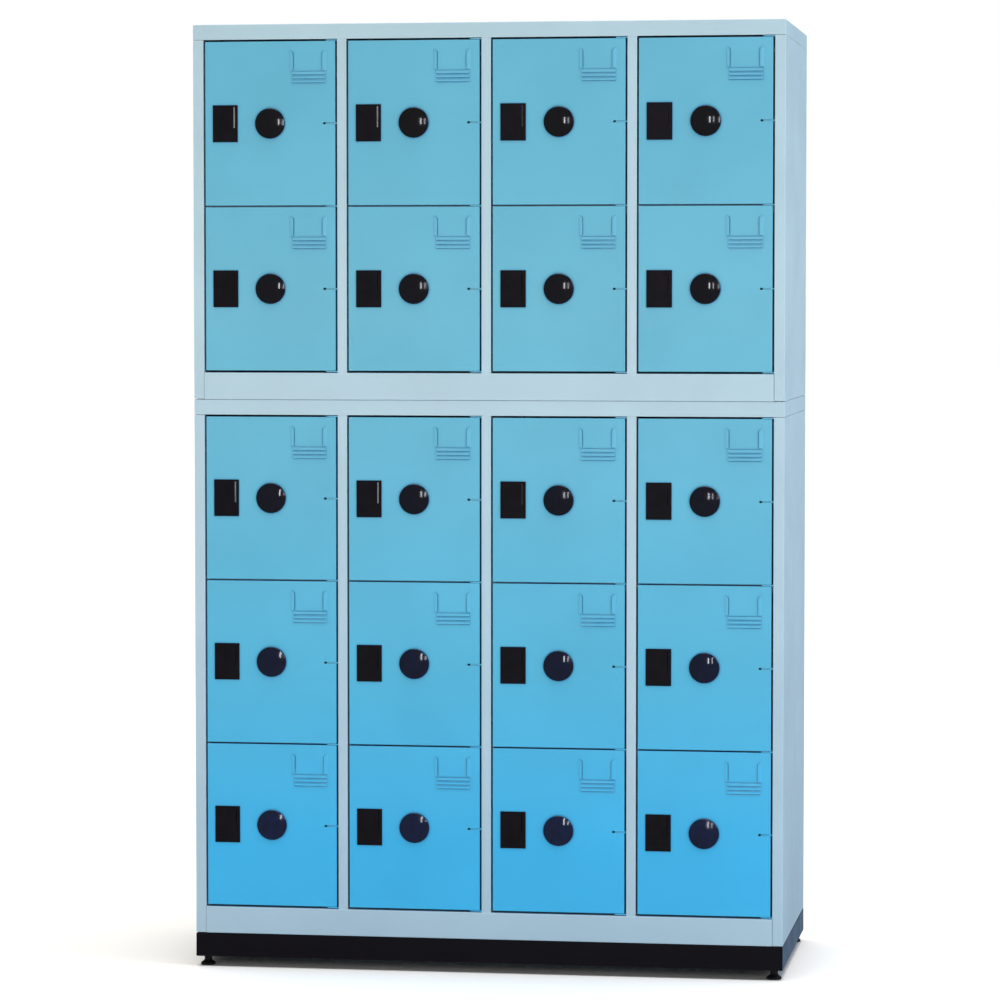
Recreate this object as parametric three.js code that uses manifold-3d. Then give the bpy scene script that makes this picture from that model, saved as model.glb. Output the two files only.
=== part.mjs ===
// Coin operated locker: two stacked sheet-steel cabinets on a plinth with levelling feet,
// twenty hinged doors, each with a coin plate and a turn knob that carries a latch arm.
//
// Millimetres, +Z up. The front faces -Y. The origin is on the floor, under the middle of the
// box that holds the whole locker, knobs included.

import * as THREE from 'three';
import { mergeVertices } from 'three/addons/utils/BufferGeometryUtils.js';
import Module from 'manifold-3d';

const wasm = await Module();
wasm.setup();

// ---------------------------------------------------------------- driving dimensions

const WIDTH = 1180;
const CASING_DEPTH = 515;
const KNOB_PROUD = 8; // how far a knob stands out from the doors
const SHEET = 1; // casing and door sheet
const FIT = 0.3; // gap left between pieces that touch on the real locker

const FOOT_CLEARANCE = 20; // floor to plinth
const PLINTH_HEIGHT = 48;
const PLINTH_SHEET = 1.5;
const PLINTH_FLANGE = 40;

const COLUMNS = 4;
const STILE = 21; // front face of a side panel
const POST = 19; // front face of a post between two columns
const POST_DEPTH = 22; // how far posts and stiles fold back
const TOP_RAIL = 30;
const BOTTOM_RAIL = 54;
const RAIL_LIP = 20;
const BACK_FLANGE = 15;
const SHELF_LIP = 15;

const DOOR_HEIGHT = 324.5;
const DOOR_DEPTH = 18; // folded edge of the door pan
const SIDE_GAP = 3.5; // door to post or stile
const END_GAP = 4; // door to top or bottom rail
const ROW_GAP = 3; // door to door, one above the other

const PIVOT_INSET = 6; // hinge axis, in from the door's edge and back from its face
const HINGE_ROD_RADIUS = 2;
const HINGE_HOLE_RADIUS = 2.5;
const TAB_LENGTH = 19; // how far a hinge tab reaches past the door's edge
const TAB_DEPTH = 12;
const TAB_THICKNESS = 2;
const TAB_SLOT_HEIGHT = 3.6;
const TAB_SLOT_LENGTH = 22;
const TAB_SLOT_END_RADIUS = 2.5;

const COIN_PLATE = { width: 50.5, height: 73, proud: 1.5, fromEdge: 15.7 };
const COIN_SLOT = { width: 3.3, height: 41, fromPlateLeft: 41.5, fromPlateTop: 4 };
const LOCK_CASE = { width: 68, height: 110, depth: 20, wall: 1.2, fromEdge: 8 };

const KNOB_RADIUS = 30;
const KNOB_RIM = 3; // height of the knob's straight edge
const KNOB_SHOULDER = { radius: 0.7, height: 0.82 }; // where the dome flattens, as shares of the knob's
const SPINDLE_RADIUS = 5;
const SPINDLE_HOLE_RADIUS = 5.5;
const SPINDLE_REACH = 29; // behind the door's face
const BOSS_RADIUS = 12;
const BOSS_DEPTH = 14;
const LATCH = { width: 16, thickness: 3, fromFace: 23.5, tail: 9, hook: 6 };

// The pad has a straight rim, a bevel up to its shoulder, and a neck that the plinth stands on.
const FOOT_PAD = { radius: 15, rim: 4, bevel: 3, shoulder: 10, neck: 14, neckRadius: 8 };
const STUD_RADIUS = 5;
const STUD_TOP = 45;
const STUD_HOLE_RADIUS = 5.6;
const FOOT_NUT_RADIUS = 9;
const FOOT_NUT_HEIGHT = 9;
const FOOT_INSET = { side: 19, end: 25 };

const ROUND_SIDES = 12;
const ROD_SIDES = 6;
const GRID = 0.001; // corners snap to this, so that faces meant to lie in one plane do

// ---------------------------------------------------------------- places worked out

const FRONT = (KNOB_PROUD - CASING_DEPTH) / 2;
const BACK = FRONT + CASING_DEPTH;
const HALF = WIDTH / 2;
const PLINTH_TOP = FOOT_CLEARANCE + PLINTH_HEIGHT;
const DOOR_WIDTH = (WIDTH - 2 * STILE - (COLUMNS - 1) * POST - 2 * COLUMNS * SIDE_GAP) / COLUMNS;
const COLUMN_PITCH = DOOR_WIDTH + 2 * SIDE_GAP + POST;
const ROW_PITCH = DOOR_HEIGHT + ROW_GAP;
const INNER_HALF = HALF - SHEET - FIT; // to the inside of the side panels
const INNER_BACK = BACK - 2 * (SHEET + FIT); // to the inside of the side panels' back flanges
const CELLS_FRONT = FRONT + POST_DEPTH + FIT; // partitions and shelves start behind the posts
const CELLS_BACK = INNER_BACK - FIT;

const doorLeft = (column) => -HALF + STILE + SIDE_GAP + column * COLUMN_PITCH;
const doorRight = (column) => doorLeft(column) + DOOR_WIDTH;
const postCentre = (column) => doorLeft(column) - SIDE_GAP - POST / 2;
const doorBottom = (row) => BOTTOM_RAIL + END_GAP + row * ROW_PITCH;
const cabinetHeight = (rows) => doorBottom(rows - 1) + DOOR_HEIGHT + END_GAP + TOP_RAIL;

// Rows are lettered from the top of the locker down.
const LOWER = { name: 'lower', base: PLINTH_TOP, rows: 3, letters: ['e', 'd', 'c'] };
const UPPER = { name: 'upper', base: PLINTH_TOP + cabinetHeight(3), rows: 2, letters: ['b', 'a'] };

// ---------------------------------------------------------------- materials

const paint = (color) => new THREE.MeshStandardMaterial({ color, roughness: 0.42, metalness: 0.1 });
const MATERIALS = {
  casing: () => paint(0xb5cfd9),
  door: () => paint(0x6ab6d2),
  plinth: () => new THREE.MeshStandardMaterial({ color: 0x1a181c, roughness: 0.5, metalness: 0.2 }),
  knob: () => new THREE.MeshStandardMaterial({ color: 0x17161a, roughness: 0.18, metalness: 0 }),
  foot: () => new THREE.MeshStandardMaterial({ color: 0x1a181c, roughness: 0.45, metalness: 0.2 }),
};

// ---------------------------------------------------------------- solids

// Turns a closed three.js geometry into a solid that can be joined and cut.
function toSolid(geometry) {
  geometry.deleteAttribute('normal');
  geometry.deleteAttribute('uv');
  const merged = mergeVertices(geometry);
  const corners = merged.index.array;
  const triangles = [];
  for (let i = 0; i < corners.length; i += 3) {
    const [a, b, c] = corners.slice(i, i + 3);
    if (a !== b && b !== c && c !== a) triangles.push(a, b, c);
  }
  const snap = (value) => Math.round(value / GRID) * GRID;
  return new wasm.Manifold(new wasm.Mesh({
    numProp: 3,
    vertProperties: Float32Array.from(merged.attributes.position.array, snap),
    triVerts: new Uint32Array(triangles),
  }));
}

// A rectangular block between two limits along each axis.
function block([x0, x1], [y0, y1], [z0, z1]) {
  const geometry = new THREE.BoxGeometry(x1 - x0, y1 - y0, z1 - z0);
  geometry.translate((x0 + x1) / 2, (y0 + y1) / 2, (z0 + z1) / 2);
  return toSolid(geometry);
}

// A round bar standing along Z.
function uprightBar(radius, [z0, z1], x, y, sides = ROUND_SIDES) {
  const geometry = new THREE.CylinderGeometry(radius, radius, z1 - z0, sides);
  geometry.rotateX(Math.PI / 2);
  geometry.translate(x, y, (z0 + z1) / 2);
  return toSolid(geometry);
}

// A round bar lying along Y, from front to back.
function levelBar(radius, [y0, y1], x, z, sides = ROUND_SIDES) {
  const geometry = new THREE.CylinderGeometry(radius, radius, y1 - y0, sides);
  geometry.translate(x, (y0 + y1) / 2, z);
  return toSolid(geometry);
}

// Limits along one axis, for a block: about a centre, or on from a starting point.
const around = (centre, size) => [centre - size / 2, centre + size / 2];
const onFrom = (start, size) => [start, start + size];

const join = (solids) => solids.reduce((whole, next) => whole.add(next));
const cut = (solid, cutters) => cutters.reduce((rest, next) => rest.subtract(next), solid);

// Makes a named mesh of a solid, once the slivers that joining left in its flat faces are gone.
function toMesh(name, solid, material) {
  const { vertProperties, triVerts } = solid.asOriginal().simplify(GRID).getMesh();
  const geometry = new THREE.BufferGeometry();
  geometry.setAttribute('position', new THREE.BufferAttribute(vertProperties, 3));
  geometry.setIndex(new THREE.BufferAttribute(triVerts, 1));
  geometry.computeVertexNormals();
  const mesh = new THREE.Mesh(geometry, material);
  mesh.name = name;
  return mesh;
}

// ---------------------------------------------------------------- plinth and feet

const footPlaces = [
  ['foot_front_left', -HALF + FOOT_INSET.side, FRONT + FOOT_INSET.end],
  ['foot_front_right', HALF - FOOT_INSET.side, FRONT + FOOT_INSET.end],
  ['foot_back_left', -HALF + FOOT_INSET.side, BACK - FOOT_INSET.end],
  ['foot_back_right', HALF - FOOT_INSET.side, BACK - FOOT_INSET.end],
];

// A ring of channel with its flanges turned inwards, and a weld nut over each foot.
function plinthFrame() {
  const inset = (by) => [[-HALF + by, HALF - by], [FRONT + by, BACK - by]];
  const [floorOfChannel, roofOfChannel] = [FOOT_CLEARANCE + PLINTH_SHEET, PLINTH_TOP - PLINTH_SHEET];
  const ring = cut(block(...inset(0), [FOOT_CLEARANCE, PLINTH_TOP]), [
    block(...inset(PLINTH_SHEET), [floorOfChannel, roofOfChannel]),
    block(...inset(PLINTH_FLANGE), [0, PLINTH_TOP + PLINTH_SHEET]),
  ]);
  const nutHeights = [FOOT_CLEARANCE, floorOfChannel + FOOT_NUT_HEIGHT];
  const nuts = footPlaces.map(([, x, y]) => uprightBar(FOOT_NUT_RADIUS, nutHeights, x, y));
  const studHoles = footPlaces.map(([, x, y]) => uprightBar(STUD_HOLE_RADIUS, [0, STUD_TOP], x, y));
  return toMesh('plinth_frame', cut(join([ring, ...nuts]), studHoles), MATERIALS.plinth());
}

// A mushroom pad on a threaded stud, modelled from the floor up.
function levellingFoot(name, x, y) {
  const { radius, rim, bevel, shoulder, neck, neckRadius } = FOOT_PAD;
  const [neckTop, studTop] = [FOOT_CLEARANCE - FIT, STUD_TOP - FIT];
  const profile = [
    [0, 0], [radius, 0], [radius, rim], [radius - bevel, shoulder], [neckRadius, neck],
    [neckRadius, neckTop], [STUD_RADIUS, neckTop], [STUD_RADIUS, studTop], [0, studTop],
  ];
  const turned = new THREE.LatheGeometry(profile.map(([r, z]) => new THREE.Vector2(r, z)), ROUND_SIDES);
  turned.rotateX(Math.PI / 2);
  const mesh = toMesh(name, toSolid(turned), MATERIALS.foot());
  mesh.position.set(x, y, 0);
  return mesh;
}

// ---------------------------------------------------------------- cabinet casing

// Shallow tray turned over the top of the cabinet. Its front edge is the top rail.
function topCap(cabinet) {
  const height = cabinetHeight(cabinet.rows);
  const rim = height - TOP_RAIL;
  const tray = cut(block([-HALF, HALF], [FRONT, BACK], [rim, height]), [
    block([-HALF + SHEET, HALF - SHEET], [FRONT + SHEET, BACK - SHEET], [rim - SHEET, height - SHEET]),
  ]);
  const lip = block([-HALF, HALF], [FRONT, FRONT + RAIL_LIP], [rim, rim + SHEET]);
  return toMesh(`${cabinet.name}_top_cap`, tray.add(lip), MATERIALS.casing());
}

// Inverted tray: its top is the floor of the lowest row and its front is the bottom rail.
// The posts between the columns stand on it, each with the hinge rod of the doors on its left.
function baseAndPosts(cabinet) {
  const frontHalf = HALF - STILE - FIT;
  const behindStile = FRONT + POST_DEPTH + FIT;
  const under = [FIT, FIT + SHEET];
  const floor = [BOTTOM_RAIL - SHEET, BOTTOM_RAIL];
  const edges = [-1, 1].map((side) => {
    const span = [side * INNER_HALF, side * (INNER_HALF - SHEET)].sort((a, b) => a - b);
    return block(span, [behindStile, INNER_BACK], [FIT, BOTTOM_RAIL]);
  });
  const posts = [];
  for (let column = 1; column < COLUMNS; column += 1) {
    posts.push(post(cabinet, column), hingeColumn(cabinet, column - 1));
  }
  return toMesh(`${cabinet.name}_base_and_posts`, join([
    block([-frontHalf, frontHalf], [FRONT, FRONT + SHEET], [FIT, BOTTOM_RAIL]),
    block([-frontHalf, frontHalf], [FRONT, behindStile + SHEET], floor),
    block([-frontHalf, frontHalf], [FRONT, FRONT + RAIL_LIP], under),
    block([-INNER_HALF, INNER_HALF], [behindStile, INNER_BACK], floor),
    block([-INNER_HALF, INNER_HALF], [INNER_BACK - SHEET, INNER_BACK], [FIT, BOTTOM_RAIL]),
    ...edges,
    ...posts,
  ]), MATERIALS.casing());
}

function backPanel(cabinet) {
  const heights = [FIT, cabinetHeight(cabinet.rows) - TOP_RAIL - FIT];
  const sheet = block([-INNER_HALF, INNER_HALF], [BACK - SHEET, BACK], heights);
  return toMesh(`${cabinet.name}_back_panel`, sheet, MATERIALS.casing());
}

// The rod that one column's doors turn on, with the tabs that carry it: one in each gap
// between doors, and one at the middle of each door. They are welded to the post or stile.
function hingeColumn(cabinet, column) {
  const edge = doorRight(column);
  const tabAcross = [edge - TAB_LENGTH, edge + SIDE_GAP + SHEET];
  const tab = (z) => block(tabAcross, [FRONT + FIT, FRONT + TAB_DEPTH], around(z, TAB_THICKNESS));
  const gapBelow = (row) => doorBottom(row) - ROW_GAP / 2;
  const [x, y] = [edge - PIVOT_INSET, FRONT + PIVOT_INSET];
  const rod = uprightBar(HINGE_ROD_RADIUS, [gapBelow(0), gapBelow(cabinet.rows)], x, y, ROD_SIDES);
  const tabs = [tab(gapBelow(cabinet.rows))];
  for (let row = 0; row < cabinet.rows; row += 1) {
    tabs.push(tab(gapBelow(row)), tab(doorBottom(row) + DOOR_HEIGHT / 2));
  }
  return join([rod, ...tabs]);
}

// side is -1 for the left panel and 1 for the right one, which also carries a hinge rod.
function sidePanel(cabinet, side) {
  const heights = [FIT, cabinetHeight(cabinet.rows) - TOP_RAIL - FIT];
  const strip = (from, to, depths) => {
    const span = [side * (HALF - from), side * (HALF - to)].sort((a, b) => a - b);
    return block(span, depths, heights);
  };
  const flangeBack = BACK - SHEET - FIT;
  const pieces = [
    strip(0, SHEET, [FRONT, BACK]),
    strip(0, STILE, [FRONT, FRONT + SHEET]),
    strip(STILE - SHEET, STILE, [FRONT, FRONT + POST_DEPTH]),
    strip(0, BACK_FLANGE, [flangeBack - SHEET, flangeBack]),
  ];
  if (side > 0) pieces.push(hingeColumn(cabinet, COLUMNS - 1));
  const label = side > 0 ? 'right' : 'left';
  return toMesh(`${cabinet.name}_side_${label}`, join(pieces), MATERIALS.casing());
}

// Folded post between column - 1 and column, open at the back.
function post(cabinet, column) {
  const [left, right] = around(postCentre(column), POST);
  const heights = [BOTTOM_RAIL - SHEET, cabinetHeight(cabinet.rows) - TOP_RAIL - FIT];
  return join([
    block([left, right], [FRONT, FRONT + SHEET], heights),
    block([left, left + SHEET], [FRONT, FRONT + POST_DEPTH], heights),
    block([right - SHEET, right], [FRONT, FRONT + POST_DEPTH], heights),
  ]);
}

// The wall behind a post, from the floor of the cabinet to its top.
function partition(cabinet, column) {
  const heights = [BOTTOM_RAIL + FIT, cabinetHeight(cabinet.rows) - SHEET - FIT];
  return block(around(postCentre(column), SHEET), [CELLS_FRONT, CELLS_BACK], heights);
}

// A shelf right across the cabinet, under `row`, with its front edge folded down.
function shelf(row) {
  const top = doorBottom(row) - ROW_GAP / 2 + SHEET / 2;
  const across = [-INNER_HALF, INNER_HALF];
  return join([
    block(across, [CELLS_FRONT, CELLS_BACK], [top - SHEET, top]),
    block(across, [CELLS_FRONT, CELLS_FRONT + SHEET], [top - SHELF_LIP, top]),
  ]);
}

// Partitions and shelves, welded into one grid before the casing goes round it.
function cellGrid(cabinet) {
  const pieces = [];
  for (let column = 1; column < COLUMNS; column += 1) pieces.push(partition(cabinet, column));
  for (let row = 1; row < cabinet.rows; row += 1) pieces.push(shelf(row));
  return toMesh(`${cabinet.name}_cell_grid`, join(pieces), MATERIALS.casing());
}

// ---------------------------------------------------------------- doors and knobs

// The door is drawn around its hinge axis, with its lower edge at z = 0.
const DOOR = {
  left: PIVOT_INSET - DOOR_WIDTH,
  face: -PIVOT_INSET,
  skinBack: SHEET - PIVOT_INSET,
  middle: DOOR_HEIGHT / 2,
  knobX: PIVOT_INSET - DOOR_WIDTH / 2,
};

// Sheet folded back on all four edges.
function doorPan() {
  const { left, face, skinBack } = DOOR;
  const hollowDepths = [skinBack, face + DOOR_DEPTH + SHEET];
  return block([left, PIVOT_INSET], onFrom(face, DOOR_DEPTH), [0, DOOR_HEIGHT])
    .subtract(block([left + SHEET, PIVOT_INSET - SHEET], hollowDepths, [SHEET, DOOR_HEIGHT - SHEET]));
}

// The coin lock's case behind the skin, and the space inside it.
function lockCase(wall) {
  const { left, face, middle } = DOOR;
  return block(
    onFrom(left + LOCK_CASE.fromEdge + wall, LOCK_CASE.width - 2 * wall),
    [wall ? DOOR.skinBack : face, face + LOCK_CASE.depth - wall],
    around(middle, LOCK_CASE.height - 2 * wall),
  );
}

// Everything that opens through the skin or the folded edges.
function doorOpenings() {
  const { left, face, skinBack, middle, knobX } = DOOR;
  const throughSkin = [face - COIN_PLATE.proud - SHEET, skinBack + SHEET];
  const slotLeft = left + COIN_PLATE.fromEdge + COIN_SLOT.fromPlateLeft;
  const slotTop = middle + COIN_PLATE.height / 2 - COIN_SLOT.fromPlateTop;
  const tabSlotEnd = PIVOT_INSET - TAB_SLOT_LENGTH;
  const tabSlotDepths = [face - SHEET, face + DOOR_DEPTH + SHEET];
  return {
    coinSlot: block(onFrom(slotLeft, COIN_SLOT.width), throughSkin, [slotTop - COIN_SLOT.height, slotTop]),
    spindleHole: levelBar(SPINDLE_HOLE_RADIUS, [face - SHEET, face + BOSS_DEPTH + SHEET], knobX, middle),
    tabSlot: block([tabSlotEnd, PIVOT_INSET + SHEET], tabSlotDepths, around(middle, TAB_SLOT_HEIGHT)),
    tabSlotEnd: levelBar(TAB_SLOT_END_RADIUS, throughSkin, tabSlotEnd, middle, ROD_SIDES),
    rodHole: uprightBar(HINGE_HOLE_RADIUS, [-SHEET, DOOR_HEIGHT + SHEET], 0, 0, ROD_SIDES),
  };
}

// The pan, with the coin plate on its face and the lock case and the knob's boss behind it.
function doorSolid() {
  const { left, face, skinBack, middle, knobX } = DOOR;
  const plate = block(
    onFrom(left + COIN_PLATE.fromEdge, COIN_PLATE.width),
    [face - COIN_PLATE.proud, skinBack],
    around(middle, COIN_PLATE.height),
  );
  const boss = levelBar(BOSS_RADIUS, onFrom(face, BOSS_DEPTH), knobX, middle);
  const hollowed = doorPan().add(lockCase(0)).subtract(lockCase(LOCK_CASE.wall));
  return cut(join([hollowed, plate, boss]), Object.values(doorOpenings()));
}

// A knob, drawn around its own axis with the door's face at y = 0: a low dome on a spindle,
// with the latch arm hanging down behind the door.
function knobSolid() {
  const profile = [
    [0, -SPINDLE_REACH], [SPINDLE_RADIUS, -SPINDLE_REACH], [SPINDLE_RADIUS, FIT], [KNOB_RADIUS, FIT],
    [KNOB_RADIUS, KNOB_RIM], [KNOB_RADIUS * KNOB_SHOULDER.radius, KNOB_PROUD * KNOB_SHOULDER.height],
    [0, KNOB_PROUD],
  ];
  const turned = new THREE.LatheGeometry(profile.map(([r, out]) => new THREE.Vector2(r, out)), ROUND_SIDES);
  turned.rotateX(Math.PI);
  const reach = DOOR_WIDTH / 2 + SIDE_GAP + LATCH.hook;
  const arm = block(around(0, LATCH.width), onFrom(LATCH.fromFace, LATCH.thickness), [-reach, LATCH.tail]);
  return toSolid(turned).add(arm);
}

function doorsAndKnobs(cabinet) {
  const group = new THREE.Group();
  const door = doorSolid();
  const knob = knobSolid();
  cabinet.letters.forEach((letter, row) => {
    for (let column = 0; column < COLUMNS; column += 1) {
      const cell = `${letter}${column + 1}`;
      const doorMesh = toMesh(`door_${cell}`, door, MATERIALS.door());
      doorMesh.position.set(doorRight(column) - PIVOT_INSET, FRONT + PIVOT_INSET, doorBottom(row));
      const knobMesh = toMesh(`knob_${cell}`, knob, MATERIALS.knob());
      knobMesh.position.set(doorRight(column) - DOOR_WIDTH / 2, FRONT, doorBottom(row) + DOOR_HEIGHT / 2);
      group.add(doorMesh, knobMesh);
    }
  });
  return group;
}

// ---------------------------------------------------------------- assembly

function cabinetGroup(cabinet) {
  const group = new THREE.Group();
  group.position.z = cabinet.base;
  group.add(
    topCap(cabinet),
    baseAndPosts(cabinet),
    backPanel(cabinet),
    sidePanel(cabinet, -1),
    sidePanel(cabinet, 1),
    cellGrid(cabinet),
    doorsAndKnobs(cabinet),
  );
  return group;
}

const group = new THREE.Group();
group.add(plinthFrame());
footPlaces.forEach(([name, x, y]) => group.add(levellingFoot(name, x, y)));
group.add(cabinetGroup(LOWER), cabinetGroup(UPPER));

export default group;
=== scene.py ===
"""Coin operated locker: its looks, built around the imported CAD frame.

Metres, +Z up, doors facing -Y."""

import math

import bmesh
import bpy
from mathutils import Matrix, Vector


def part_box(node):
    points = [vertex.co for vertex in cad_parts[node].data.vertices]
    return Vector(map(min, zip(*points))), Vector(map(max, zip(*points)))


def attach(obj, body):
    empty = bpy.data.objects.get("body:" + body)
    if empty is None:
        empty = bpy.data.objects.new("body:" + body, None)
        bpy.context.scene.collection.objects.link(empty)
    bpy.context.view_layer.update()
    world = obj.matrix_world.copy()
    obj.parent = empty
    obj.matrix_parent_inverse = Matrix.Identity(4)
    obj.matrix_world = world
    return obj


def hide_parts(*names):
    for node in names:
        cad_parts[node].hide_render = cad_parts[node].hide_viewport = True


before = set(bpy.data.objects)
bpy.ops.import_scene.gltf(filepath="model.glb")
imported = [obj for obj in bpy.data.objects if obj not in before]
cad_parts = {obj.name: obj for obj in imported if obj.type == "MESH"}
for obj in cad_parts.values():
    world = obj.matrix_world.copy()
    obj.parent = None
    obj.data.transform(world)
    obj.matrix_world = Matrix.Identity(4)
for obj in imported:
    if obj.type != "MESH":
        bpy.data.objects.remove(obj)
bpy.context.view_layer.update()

MM = 0.001

# ---------------------------------------------------------------- places read from the frame

ROWS = {"upper": "ab", "lower": "cde"}  # rows of doors, lettered from the top of the locker
COLUMNS = (1, 2, 3, 4)
LETTERS = "".join(ROWS.values())
CELLS = [f"{letter}{column}" for letter in LETTERS for column in COLUMNS]

CAP_LOW, CAP_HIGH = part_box("upper_top_cap")
FRONT, BACK = CAP_LOW.y, CAP_HIGH.y  # y of the casing's front and back faces
HALF = CAP_HIGH.x
DOOR_LOW, DOOR_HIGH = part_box("door_a1")
DOOR_WIDTH = DOOR_HIGH.x - DOOR_LOW.x
DOOR_HEIGHT = DOOR_HIGH.z - DOOR_LOW.z
KNOB_LOW, KNOB_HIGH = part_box("knob_a1")
KNOB_PROUD = FRONT - KNOB_LOW.y
KNOB_RADIUS = (KNOB_HIGH.x - KNOB_LOW.x) / 2
SIDE_GAP_AND_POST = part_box("door_a2")[0].x - DOOR_HIGH.x
ROW_GAP = DOOR_LOW.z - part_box("door_b1")[1].z

# ---------------------------------------------------------------- sizes

SHEET = 1.0 * MM
FIT = 0.3 * MM
BEND = 1.5 * MM  # outside radius of a fold
FOLD_STEPS = 4  # flats that a fold is made of
STILE = 21 * MM
POST = 19 * MM
POST_DEPTH = 22 * MM
SIDE_GAP = (SIDE_GAP_AND_POST - POST) / 2
TOP_RAIL = CAP_HIGH.z - CAP_LOW.z
BOTTOM_RAIL = 54 * MM  # height of the floor above the cabinet's foot
RAIL_STEP = 1.2 * MM  # how far the rail's own top is under the floor
RAIL_LIP = 20 * MM
BACK_FLANGE = 15 * MM
SHELF_LIP = 15 * MM
SHELF_DROP = (ROW_GAP - SHEET) / 2  # from a door's lower edge down to the shelf's top
SOFT_EDGE = 0.2 * MM  # rounding of a plain sheet's cut edges
BACK_EDGE = 0.3 * MM
PANEL_SEAM = 0.8 * MM  # open seam under the top cap
CABINET_SEAM = 1.3 * MM  # open seam under each cabinet

DOOR_DEPTH = 18 * MM
PIVOT_INSET = 6 * MM
ROD_RADIUS = 2 * MM
ROD_HOLE_RADIUS = 2.5 * MM
TAB_LENGTH = 19 * MM
TAB_DEPTH = 12 * MM
TAB_THICKNESS = 2.2 * MM
MIDDLE_TAB_THICKNESS = 2.4 * MM
TAB_EDGE = 0.4 * MM
ROD_CHAMFER = 0.4 * MM
ROD_END = 2 * MM  # how far a rod runs past the doors of its column
TAB_SLOT_LENGTH = 22 * MM
TAB_SLOT_HEIGHT = 3.2 * MM
TAB_SLOT_END_RADIUS = 2.5 * MM

PLATE_WIDTH = 50.5 * MM
PLATE_HEIGHT = 73 * MM
PLATE_FROM_EDGE = 15.7 * MM
PLATE_PROUD = 1.5 * MM
PLATE_EDGE = 0.6 * MM  # rounding of the plate's edges
PLATE_FIT = 0.05 * MM  # between the plate's back and the door's face
COIN_SLOT_WIDTH = 3.3 * MM
COIN_SLOT_HEIGHT = 41 * MM
COIN_SLOT_FROM_LEFT = 41.5 * MM
COIN_SLOT_FROM_TOP = 4 * MM
LINING_WIDTH = 2.6 * MM
LINING_PROUD = 0.2 * MM  # past the plate's face
LINING_EDGE = 0.25 * MM
LOCK_CASE_WIDTH = 68 * MM
LOCK_CASE_HEIGHT = 110 * MM
LOCK_CASE_DEPTH = 20 * MM
LOCK_CASE_FROM_EDGE = 8 * MM
LOCK_CASE_WALL = 1.2 * MM
SCREW_INSET = (8 * MM, 9 * MM)  # in from the lock case's sides, and from its top and bottom
SCREW_SUNK = 0.1 * MM  # how far a screw's head is let into the case
# (radius, height) over a screw's head
SCREW_HEAD = [(0, 0), (3.4 * MM, 0), (3.4 * MM, 0.6 * MM), (2.2 * MM, 1.7 * MM), (0, 1.9 * MM)]

KNOB_CROWN = 4.4 * MM  # how much the cap rises inside its shoulder
KNOB_SHOULDER = 1.6 * MM  # radius of the rounded edge
SPINDLE_RADIUS = 5 * MM
SPINDLE_REACH = 29 * MM
BOSS_RADIUS = 12 * MM
BOSS_DEPTH = 14 * MM
BOSS_FLANGE = 3 * MM  # how far the flange reaches past the boss
BOSS_FLANGE_THICKNESS = 2 * MM
LATCH_WIDTH = 16 * MM
LATCH_THICKNESS = 3 * MM
LATCH_FROM_FACE = 23.5 * MM
LATCH_TAIL = 9 * MM
LATCH_EDGE = 0.7 * MM
LATCH_HOOK = 6 * MM  # how far the arm reaches behind the post
LATCH_REACH = DOOR_WIDTH / 2 + SIDE_GAP + LATCH_HOOK
LATCH_NUT_RADIUS = 7.8 * MM
LATCH_NUT_HEIGHT = 2.3 * MM

PLINTH_SHEET = 1.5 * MM
PLINTH_FLANGE = 40 * MM
PLINTH_BEND = 2.5 * MM

STUD_RADIUS = 5 * MM
STUD_BOTTOM, STUD_TOP = 12 * MM, 44.5 * MM
THREAD_PITCH = 1.5 * MM
THREAD_DEPTH = 0.6 * MM
FOOT_NUT_RADIUS = 8 * MM
FOOT_NUT_BOTTOM, FOOT_NUT_TOP = 13 * MM, 19.4 * MM
NUT_CHAMFER = 0.8 * MM
# (radius, height) up the foot's pad, from the floor
PAD_PROFILE = [(0, 0), (13.5 * MM, 0), (15 * MM, 1.2 * MM), (15 * MM, 3.6 * MM), (14 * MM, 5 * MM),
               (9.5 * MM, 8.5 * MM), (8 * MM, 10 * MM), (7.6 * MM, 12.5 * MM), (0, 12.5 * MM)]

# The card holder's lips and the ribs under it are tongues pressed out of the skin, each with a
# crease beside its open edge. They are placed by that edge: from the door's right, and down
# from its top.
TONGUE_RISE = 1.7 * MM
TONGUE_SHEET = 0.8 * MM
TONGUE_ROOT = 0.3 * MM  # how far a tongue goes into the skin that it rises from
CREASE_DEPTH = 0.75 * MM
CREASE_UNDER = 0.4  # share of the tongue's width that the crease runs under
CREASE_STOP = 0.6  # share of the lip's flare that its crease stops short by
LIP_WIDTH = 7.5 * MM
LIP_TOP, LIP_BOTTOM = 19 * MM, 57 * MM
LIP_FLARE = 5 * MM
LEFT_LIP_EDGE, RIGHT_LIP_EDGE = 85 * MM, 25.5 * MM
LIP_CREASE = 2.2 * MM
FLOOR_LIP_DROP = 60.5 * MM
FLOOR_LIP_WIDTH = 4 * MM
FLOOR_LIP_CREASE = 0.6 * MM
RIB_DROPS = (65.6 * MM, 73.6 * MM, 81.6 * MM)
RIB_WIDTH = 4.5 * MM
RIB_CREASE = 2.0 * MM
RIB_SPAN = (19.5 * MM, 86.5 * MM)

# ---------------------------------------------------------------- meshes


def box_of(low, high):
    """A bmesh box between two corners."""
    low, high = Vector(low), Vector(high)
    bm = bmesh.new()
    bmesh.ops.create_cube(bm, size=1)
    bmesh.ops.scale(bm, vec=high - low, verts=bm.verts)
    bmesh.ops.translate(bm, vec=(low + high) / 2, verts=bm.verts)
    return bm


def rounded_box(low, high, radius):
    """A block whose every edge is rounded."""
    bm = box_of(low, high)
    bmesh.ops.bevel(bm, geom=bm.edges[:], offset=radius, segments=3, profile=0.5, affect="EDGES")
    return bm


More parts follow.
